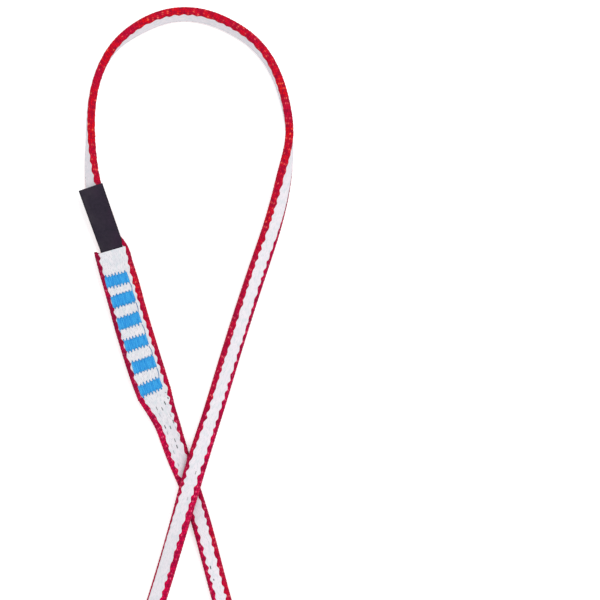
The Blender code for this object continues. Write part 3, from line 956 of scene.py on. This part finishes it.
def make_body(material):
    """The white tape as one woven tube, pressed flat, with its weave standing up a little."""
    distance = np.concatenate([[0], body_stations(), [TAPE.total]])
    turn = np.linspace(0, math.pi, RIM_POINTS + 2)[1:-1]
    face = np.linspace(1, -1, FACE_POINTS)
    inset = np.concatenate([face, -np.ones(RIM_POINTS), -face, np.ones(RIM_POINTS)])
    none = np.zeros(FACE_POINTS)
    side = np.concatenate([none, -np.sin(turn), none, np.sin(turn)])
    out = np.concatenate([none + 1, np.cos(turn), none - 1, -np.cos(turn)])
    width = TAPE.at(TAPE.width, distance)[:, None]
    thick = TAPE.at(TAPE.thick, distance)[:, None]
    first, second = (read_table(EDGE_SHIFTS, distance, inner)[:, None] for inner in (True, False))
    on_first = inset > 0
    half = np.minimum(width / 2 + np.where(on_first, first, second) - BODY_SINK, BODY_REACH)
    across = inset * (half - thick / 2) + side * thick / 2
    outward = out * thick / 2
    step = np.hypot(np.diff(across, axis=1), np.diff(outward, axis=1))
    v = np.concatenate([np.zeros((len(distance), 1)), np.cumsum(step, axis=1)], 1)
    v = v - (half[:, :1] - thick / 2)
    chevron = np.abs(across) * CHEVRON_LEAN + distance[:, None]
    relief = WEAVE_RELIEF * np.cos(2 * np.pi * chevron / WEAVE_PITCH)
    across = across + side * relief
    outward = outward + out * relief
    outward[[0, -1]] *= CUT_CLOSING
    points = TAPE.rings(distance, across, outward)
    points = shape_cut_end(points, distance, np.maximum(across, -CUT_CORNER_SIDE))
    piece = grid_piece("tape_weave", points, distance, v, material)
    beside = ease((across / width + HOLES_SIDE_SHARE) / HOLES_SIDE_SPAN_SHARE)
    paint(piece, "opened", (hole_share(distance)[:, None] * beside).ravel())
    # The strands' lighter tone and their painted pink reflection of the red edges.
    paint(piece, "strand", np.repeat(strand_tone_and_reflection(distance), points.shape[1]))
    return piece, TAPE.at(TAPE.centres, distance[1:-1])


def lobe_wave(distance, inner, phase):
    """Rise and fall of the red yarns over the white, from 0 to 1, with an uneven pitch."""
    jitter = SCALLOP_JITTER * ripple(distance, SCALLOP_SEED + int(inner), 2 * SCALLOP_PITCH)
    place = distance / SCALLOP_PITCH + phase + jitter
    saw = place - np.floor(place)
    return ease(np.where(saw < SCALLOP_RISE, saw / SCALLOP_RISE, (1 - saw) / (1 - SCALLOP_RISE)))


def lowered_share(distance, inner):
    """How far the tape's roll lowers an edge, and how far it raises it, each from 0 to 1."""
    rolled = np.sin(TAPE.at(TAPE.roll, distance)) * (1 if inner else -1)
    return ease((-rolled - LOW_EDGE_START) / LOW_EDGE_SPAN), ease(rolled / ROLL_FOR_MORE_COVER)


def skin_cover(distance, inner, phase):
    """How far a red edge reaches over the tape's face, scalloped where its yarns cross the white."""
    jitter = SCALLOP_DEPTH_JITTER * ripple(distance, SCALLOP_DEPTH_SEED + int(inner), 3 * SCALLOP_PITCH)
    size = SCALLOP_DEPTH * (1 + jitter)
    lowered, raised = lowered_share(distance, inner)
    cover = read_table(COVERS, distance, inner) + RAISED_COVER * raised
    cover = cover * (1 - LOW_EDGE_LOSS * lowered)
    ragged = RAGGED_DEPTH * ripple(distance, RAGGED_SEED + int(inner), RAGGED_PITCH)
    cover = cover + (size * (lobe_wave(distance, inner, phase) - 0.5) + ragged) * (1 - lowered)
    if inner:
        cover = cover - CUT_END_LOSS * (1 - ease(distance / CUT_END_REACH))
    return cover


def make_skin(name, inner, material):
    """One red edge: a skin of coarse ribbed yarn round the tape's rim."""
    distance = body_stations()
    side = 1 if inner else -1
    thick = TAPE.at(TAPE.thick, distance)
    half = TAPE.at(TAPE.width, distance) / 2 + read_table(EDGE_SHIFTS, distance, inner)
    spread = TAPE.at(TAPE.spread, distance)[:, None]
    radius = thick / 2
    upper = skin_cover(distance, inner, 0)
    lower = skin_cover(distance, inner, 0.5)
    share = np.linspace(0, 1, SKIN_POINTS)[None]
    flat_top, flat_low = np.maximum(upper - radius, 0), np.maximum(lower - radius, 0)
    top_turn = np.arccos(np.clip((radius - upper) / radius, 0, 1))
    low_turn = np.arccos(np.clip((radius - lower) / radius, 0, 1))
    reach = flat_top + radius * (top_turn + low_turn) + flat_low
    arc = share * reach[:, None]
    past = arc - flat_top[:, None]
    turn = np.clip(past / radius[:, None], 0, (top_turn + low_turn)[:, None]) - top_turn[:, None]
    before = np.minimum(past, 0)
    beyond = np.maximum(past - (radius * (top_turn + low_turn))[:, None], 0)
    across = (half - radius)[:, None] + radius[:, None] * np.cos(turn) + before - beyond
    outward = -radius[:, None] * np.sin(turn)
    nx, ny = np.cos(turn), -np.sin(turn)
    v = arc - (flat_top + radius * top_turn)[:, None]
    edge = np.abs(2 * share - 1)
    top = RIM_PROUD + (SKIN_PROUD - RIM_PROUD) * ny**2
    top = top + (JOINT_PROUD - top) * spread
    fade = edge**SKIN_FADE_POWER
    proud = top * (1 - fade) - SKIN_DIVE * fade
    lean = distance[:, None] + RIB_LEAN * v
    rib = RIB_RELIEF * (0.5 + 0.5 * np.cos(2 * np.pi * lean / RIB_PITCH)) - RIB_RELIEF / 2
    fine = FINE_RELIEF * np.cos(2 * np.pi * (v - FINE_LEAN * distance[:, None]) / FINE_PITCH)
    lift = proud + (rib + fine) * (1 - fade)
    across = across + nx * lift
    outward = outward + ny * lift
    # The lobe values carry painted shade: low where the yarns dip and on the lowered edge, and low at the
    # seared cut end.
    lowered, _ = lowered_share(distance, inner)
    lobes = lobe_wave(distance[:, None] + LOBE_LEAN * np.abs(v), inner, 0) * (1 - lowered)[:, None]
    lobes = lobes * ease(distance / CUT_SEAR)[:, None]

    inside = radius - SKIN_DEPTH
    hidden_low = half - radius - flat_low + inside * np.cos(low_turn)
    hidden_top = half - radius - flat_top + inside * np.cos(top_turn)
    across = np.concatenate([across, hidden_low[:, None], hidden_top[:, None]], 1)
    closing = np.stack([-inside * np.sin(low_turn), inside * np.sin(top_turn)], 1)
    outward = np.concatenate([outward, closing], 1)
    v = np.concatenate([v, v[:, -1:] + SKIN_DEPTH, v[:, -1:] + 2 * SKIN_DEPTH], 1)
    lobes = np.concatenate([lobes, lobes[:, -1:], lobes[:, :1]], 1)
    if not inner:
        across, outward, v, lobes = across[:, ::-1], outward[:, ::-1], v[:, ::-1], lobes[:, ::-1]
    across = side * across
    points = shape_cut_end(TAPE.rings(distance, across, outward), distance, across)
    piece = grid_piece(name, points, distance, v, material)
    paint(piece, "lobe", lobes.ravel())
    paint(piece, "tone", np.repeat(read_table(TONES, distance, inner), points.shape[1]))
    return piece


def thread_piece(name, paths, radius, sides, material):
    """Threads as round tubes in one mesh; each path is points and the face's outward vectors."""
    verts, faces, corners = [], [], []
    turns = np.linspace(0, 2 * math.pi, sides, endpoint=False)
    for number, (path, outward) in enumerate(paths):
        ahead = np.gradient(path, axis=0)
        ahead /= np.linalg.norm(ahead, axis=1)[:, None]
        beside = np.cross(ahead, outward)
        beside /= np.linalg.norm(beside, axis=1)[:, None]
        up = np.cross(beside, ahead)
        rings = (
            path[:, None]
            + radius * np.cos(turns)[None, :, None] * beside[:, None]
            + radius * np.sin(turns)[None, :, None] * up[:, None]
        )
        start = len(verts)
        verts += rings.reshape(-1, 3).tolist()
        last = len(path) - 1
        for i in range(last):
            for k in range(sides):
                after = (k + 1) % sides
                low, high = start + i * sides, start + (i + 1) * sides
                faces.append((low + k, low + after, high + after, high + k))
                u0, u1 = i / last, (i + 1) / last
                v0 = number + THREAD_MAP_START + THREAD_MAP_SPAN * k / sides
                v1 = number + THREAD_MAP_START + THREAD_MAP_SPAN * (k + 1) / sides
                corners += [(u0, v0), (u0, v1), (u1, v1), (u1, v0)]
        faces.append(tuple(start + k for k in reversed(range(sides))))
        corners += [(0, number + THREAD_MAP_MIDDLE)] * sides
        faces.append(tuple(start + last * sides + k for k in range(sides)))
        corners += [(1, number + THREAD_MAP_MIDDLE)] * sides
    mesh = bpy.data.meshes.new(name)
    mesh.from_pydata(verts, [], faces)
    layer = mesh.uv_layers.new(name="metres")
    layer.data.foreach_set("uv", np.array(corners, float).ravel())
    mesh.shade_smooth()
    mesh.materials.append(material)
    return put(name, mesh)


def zigzag(number, first_way, count, reach, lift, rng, wander, needle):
    """The legs of one zigzag pass over a bar tack, each from needle hole to needle hole."""
    paths = []
    place, shift = TACK_PLACES[number], TACK_SIDE_SHIFTS[number]
    width = TACK_WIDTH - 2 * THREAD_RADIUS
    steps = np.linspace(-width / 2, width / 2, count + 1)
    share = np.linspace(0, 1, LEG_POINTS)
    edge = np.abs(2 * share - 1)
    for k in range(count):
        way = 1 if (k + first_way) % 2 else -1
        ends = reach + wander * rng.uniform(-1, 1, 2)
        side = -(steps[k] + (steps[k + 1] - steps[k]) * share) - shift
        leaned = place - TACK_TILTS[number] * (side + shift)
        distance = leaned + way * (-ends[0] + (ends[0] + ends[1]) * share)
        rise = lift * (1 - edge**LEG_ARCH_POWER) - TACK_DIVE * edge**LEG_DIVE_POWER
        path = TAPE.surface(distance, side, rise)
        outward = TAPE.at(TAPE.outward, distance)
        if not needle:
            path[:, 2] = THREAD_RADIUS + UNDER_LIFT - rise
            outward = -outward
        paths.append((path, outward))
    return paths


def make_tack(name, number, needle, material):
    """A bar tack's threads on one side: a dense core under a wider zigzag that makes its teeth."""
    rng = np.random.default_rng(2 * number + needle)
    core = CORE_REACHES[number]
    paths = zigzag(number, 0, CORE_LEGS, core, CORE_LIFT, rng, CORE_WANDER, needle)
    reach = TACK_LENGTH / 2 - THREAD_RADIUS
    legs = 2 * TACK_TEETH
    paths += zigzag(number, number, legs, reach, UNDER_LIFT, rng, TOOTH_WANDER, needle)
    return thread_piece(name, paths, THREAD_RADIUS, THREAD_SIDES, material)


def make_jump(name, number, material):
    """The needle thread's run from one bar tack to the next."""
    start = TACK_PLACES[number] + TACK_LENGTH / 2 - JUMP_UNDER
    end = TACK_PLACES[number + 1] - TACK_LENGTH / 2 + JUMP_UNDER
    share = np.linspace(0, 1, JUMP_POINTS)
    distance = start + (end - start) * share
    bow = JUMP_BOW * np.sin(np.pi * share)
    shift = TACK_SIDE_SHIFTS[number] * (1 - share) + TACK_SIDE_SHIFTS[number + 1] * share
    side = TACK_WIDTH * JUMP_SIDE_SHARE - shift + bow
    edge = np.abs(2 * share - 1)
    lift = JUMP_LIFT * (1 - edge**LEG_ARCH_POWER) - TACK_DIVE * edge**LEG_DIVE_POWER
    path = TAPE.surface(distance, side, lift)
    thread = [(path, TAPE.at(TAPE.outward, distance))]
    return thread_piece(name, thread, JUMP_THREAD_RADIUS, THREAD_SIDES, material)


def make_label(material):
    """The folded ribbon, from its two sewn ends under the first bar tack to the fold at its tip."""
    heading = np.array([-math.sin(LABEL_HEADING), math.cos(LABEL_HEADING), 0])
    sideways = np.array([heading[1], -heading[0], 0])
    tail = -HINGE_OUTSIDE - TAPE.tail_inside()
    tip = LABEL_FREE_LENGTH - LABEL_TIP_INSET
    fold = (RIBBON_FREE_GAP + RIBBON_FOLD_SWELL) / 2
    run = np.linspace(tail, tip - fold, RIBBON_RUN_POINTS)
    freed = ease((run + HINGE_OUTSIDE) / RIBBON_GAP_REACH)
    opening = RIBBON_TAIL_GAP + (RIBBON_FREE_GAP - RIBBON_TAIL_GAP) * freed
    opening = opening + RIBBON_FOLD_SWELL * ease((run - tip + RIBBON_FOLD_REACH) / RIBBON_FOLD_REACH)
    low = -LABEL_TAIL_THICKNESS / 2 + RIBBON_PLY / 2 + np.zeros(RIBBON_RUN_POINTS)
    turn = np.linspace(-math.pi / 2, math.pi / 2, RIBBON_FOLD_POINTS)[1:-1]
    bend_x = tip - fold + fold * np.cos(turn)
    bend_z = low[-1] + opening[-1] / 2 + opening[-1] / 2 * np.sin(turn)
    x = np.concatenate([run, bend_x, run[::-1]])
    z = np.concatenate([low, bend_z, (low + opening)[::-1]])
    step = np.hypot(np.diff(x), np.diff(z))
    u = np.concatenate([[0], np.cumsum(step)])
    tx, tz = np.gradient(x), np.gradient(z)
    size = np.hypot(tx, tz)
    tx, tz = tx / size, tz / size
    side = np.linspace(-1, 1, RIBBON_ACROSS_POINTS)
    rounded = np.sqrt(np.clip(1 - np.abs(side) ** RIBBON_ROUNDING_POWER, 0, 1))
    picks = np.cos(2 * np.pi * u[:, None] / RIBBON_RELIEF_PITCH)
    relief = RIBBON_RELIEF * picks * np.cos(np.pi * RIBBON_RELIEF_RIBS * side[None])
    half = RIBBON_PLY / 2 * (RIBBON_EDGE_SHARE + (1 - RIBBON_EDGE_SHARE) * rounded)[None] + relief
    v_face = side * LABEL_WIDTH / 2
    rows = []
    for sign, order in ((1, slice(None)), (-1, slice(None, None, -1))):
        px = x[:, None] + sign * -tz[:, None] * half
        pz = z[:, None] + sign * tx[:, None] * half
        rows.append((px[:, order], pz[:, order], np.broadcast_to(v_face, px.shape)[:, order]))
    px = np.concatenate([row[0] for row in rows], 1)
    pz = np.concatenate([row[1] for row in rows], 1)
    pv = np.concatenate([row[2] for row in rows], 1)
    bite = LABEL_BITE * (1 - ease(np.abs(px + HINGE_OUTSIDE) / LABEL_BITE_REACH))
    wider = LABEL_LEFT_EXTRA * np.clip(px / tip, 0, 1)
    pv = pv - (bite * np.maximum(pv, 0) + wider * np.maximum(-pv, 0)) / (LABEL_WIDTH / 2)
    past = np.maximum(px, 0)
    bent = np.where(px > 0, 1.0, 0.0)
    wave = LABEL_RIPPLE * np.sin(past * LABEL_RIPPLE_TURN) * (pv / (LABEL_WIDTH / 2))
    arch = LABEL_ARCH * np.sin(np.pi * np.clip(past / tip, 0, 1)) + wave
    along = px * (1 - bent) + bent * (past * math.cos(LABEL_SLOPE) - pz * math.sin(LABEL_SLOPE))
    height = pz * (1 - bent) + bent * (past * math.sin(LABEL_SLOPE) + pz * math.cos(LABEL_SLOPE))
    height = height + arch * ease(past / LABEL_ARCH_START)
    start = np.array([*TAPE.plan[0], TAPE.tail_seat + LABEL_TAIL_THICKNESS / 2])
    hinge = start + heading * HINGE_OUTSIDE + sideways * LABEL_SIDE_SHIFT
    points = (
        hinge
        + along[..., None] * heading
        + pv[..., None] * sideways
        + height[..., None] * np.array([0.0, 0.0, 1.0])
    )
    piece = grid_piece("label", points[:, ::-1], u, pv[:, ::-1], material)
    return piece, hinge, heading


def make_stage():
    """White surface whose colour is the picture's background, keeping only a faint shadow."""
    mesh = bpy.data.meshes.new("floor")
    corners = [(x * FLOOR_REACH, y * FLOOR_REACH, 0) for x, y in ((-1, -1), (1, -1), (1, 1), (-1, 1))]
    mesh.from_pydata(corners, [], [(0, 1, 2, 3)])
    floor = put("floor", mesh)
    floor.location.z = -FLOOR_DROP
    n = Nodes("floor_white")
    n.shader.inputs["Base Color"].default_value = (FLOOR_TONE, FLOOR_TONE, FLOOR_TONE, 1)
    n.shader.inputs["Roughness"].default_value = FLOOR_ROUGHNESS
    n.shader.inputs["Specular IOR Level"].default_value = 0.0
    glow = n.add("ShaderNodeEmission")
    glow.inputs["Color"].default_value = (1, 1, 1, 1)
    glow.inputs["Strength"].default_value = FLOOR_GLOW
    both = n.add("ShaderNodeAddShader")
    n.tree.links.new(n.shader.outputs[0], both.inputs[0])
    n.tree.links.new(glow.outputs[0], both.inputs[1])
    rays = n.add("ShaderNodeLightPath")
    seen = n.math("MAXIMUM", rays.outputs["Is Camera Ray"], rays.outputs["Is Glossy Ray"])
    pick = n.add("ShaderNodeMixShader", Fac=seen)
    n.tree.links.new(n.shader.outputs[0], pick.inputs[1])
    n.tree.links.new(both.outputs[0], pick.inputs[2])
    n.tree.links.new(pick.outputs[0], n.tree.nodes["Material Output"].inputs["Surface"])
    mesh.materials.append(n.material)


def make_light(name, place, size, power):
    """A round soft lamp turned to the middle of the surface."""
    lamp = bpy.data.lights.new(name, "AREA")
    lamp.shape = "DISK"
    lamp.size = size
    lamp.energy = power
    thing = put(name, lamp)
    thing.location = place
    thing.rotation_euler = (Vector(LAMP_AIM) - Vector(place)).to_track_quat("-Z", "Y").to_euler()


def make_camera():
    """A camera straight above, whose frame is the picture's square of the surface."""
    data = bpy.data.cameras.new("camera")
    data.sensor_width = SENSOR_WIDTH
    data.lens = SENSOR_WIDTH * CAMERA_HEIGHT / PICTURE_SIDE
    camera = put("camera", data)
    camera.location = (*PICTURE_CENTRE, CAMERA_HEIGHT)
    bpy.context.scene.camera = camera


def make_lighting():
    """Even light from all round, white where the camera sees it, and two soft lamps."""
    world = bpy.data.worlds.new("studio")
    bpy.context.scene.world = world
    world.use_nodes = True
    tree = world.node_tree
    background = tree.nodes["Background"]
    background.inputs["Color"].default_value = (1, 1, 1, 1)
    rays = tree.nodes.new("ShaderNodeLightPath")
    mix = tree.nodes.new("ShaderNodeMapRange")
    tree.links.new(rays.outputs["Is Camera Ray"], mix.inputs["Value"])
    mix.inputs["To Min"].default_value = WORLD_LIGHT
    mix.inputs["To Max"].default_value = 1.0
    tree.links.new(mix.outputs[0], background.inputs["Strength"])
    for name, place, size, power in LAMPS:
        make_light(name, place, size, power)


def main():
    bpy.context.scene.view_settings.view_transform = "Standard"
    make_camera()
    make_lighting()
    make_stage()

    white = white_yarn()
    # Each red's deep tone serves its blotches and darker floats and also its painted shade; its sparks are
    # painted highlights.
    warm = red_yarn(
        "red_yarn_warm",
        base=linear(188, 8, 66),
        second=linear(232, 10, 16),
        deep_and_shade=linear(142, 4, 46),
        highlight_spark=linear(226, 84, 118),
        second_highlight_spark=linear(255, 106, 74),
    )
    cool = red_yarn(
        "red_yarn_cool",
        base=linear(168, 12, 56),
        second=linear(234, 0, 76),
        deep_and_shade=linear(122, 6, 50),
        highlight_spark=linear(196, 74, 110),
        second_highlight_spark=linear(246, 88, 128),
    )
    blue = blue_thread()
    grey = jump_thread()
    ribbon = label_ribbon()

    body, middle = make_body(white)
    inner = make_skin("red_edge_inner", True, warm)
    outer = make_skin("red_edge_outer", False, cool)
    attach(body, "sling")
    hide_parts("tape_body")
    for piece, node in ((inner, "tape_edge_inner"), (outer, "tape_edge_outer")):
        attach(piece, "sling")
        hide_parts(node)

    for number in range(len(TACK_PLACES)):
        for kind in ("needle", "bobbin"):
            tack = make_tack(f"{kind}_stitches_{number + 1}", number, kind == "needle", blue)
            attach(tack, "sling")
            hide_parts(f"{kind}_tack_{number + 1}")
    for number in range(len(TACK_PLACES) - 1):
        jump = make_jump(f"needle_run_{number + 1}", number, grey)
        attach(jump, "sling")
        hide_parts(f"needle_jump_{number + 1}")

    label, hinge, heading = make_label(ribbon)
    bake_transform(label)
    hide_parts("label_tail", "label_flap")


main()
